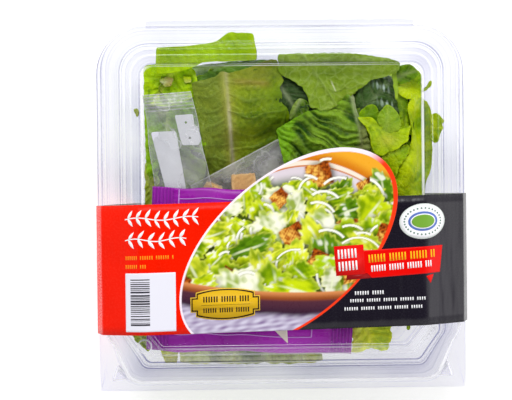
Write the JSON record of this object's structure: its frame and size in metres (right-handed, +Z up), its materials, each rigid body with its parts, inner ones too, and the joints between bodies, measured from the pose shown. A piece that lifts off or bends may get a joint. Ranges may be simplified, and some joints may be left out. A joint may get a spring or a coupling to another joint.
{
  "type": "packaged salad bowl",
  "caption": "Ready-made leaf salad in a square clear hinged clamshell, closed by a printed card sleeve, with dressing, crouton and fork sachets inside.",
  "frame": {"origin": "middle of the pack's outline, on the surface it stands on", "axes": "+Z up through the lid, +Y towards the hinge, +X to the right as the sleeve is read"},
  "size_m": [0.1904, 0.1904, 0.0695],
  "materials": {
    "clear_sheet": "clear, glossy",
    "printed_card": "coated, satin",
    "lettuce": "waxy leaf",
    "purple_film": "printed film, satin",
    "clear_film": "clear film, glossy"
  },
  "bodies": {
    "root": {"tray": "clear_sheet", "lid": "clear_sheet", "sleeve": "printed_card", "salad_heap": "lettuce", "dressing_sachet": "purple_film", "fork_sachet": "clear_film", "crouton_pouch": "clear_film"}
  },
  "joints": []
}
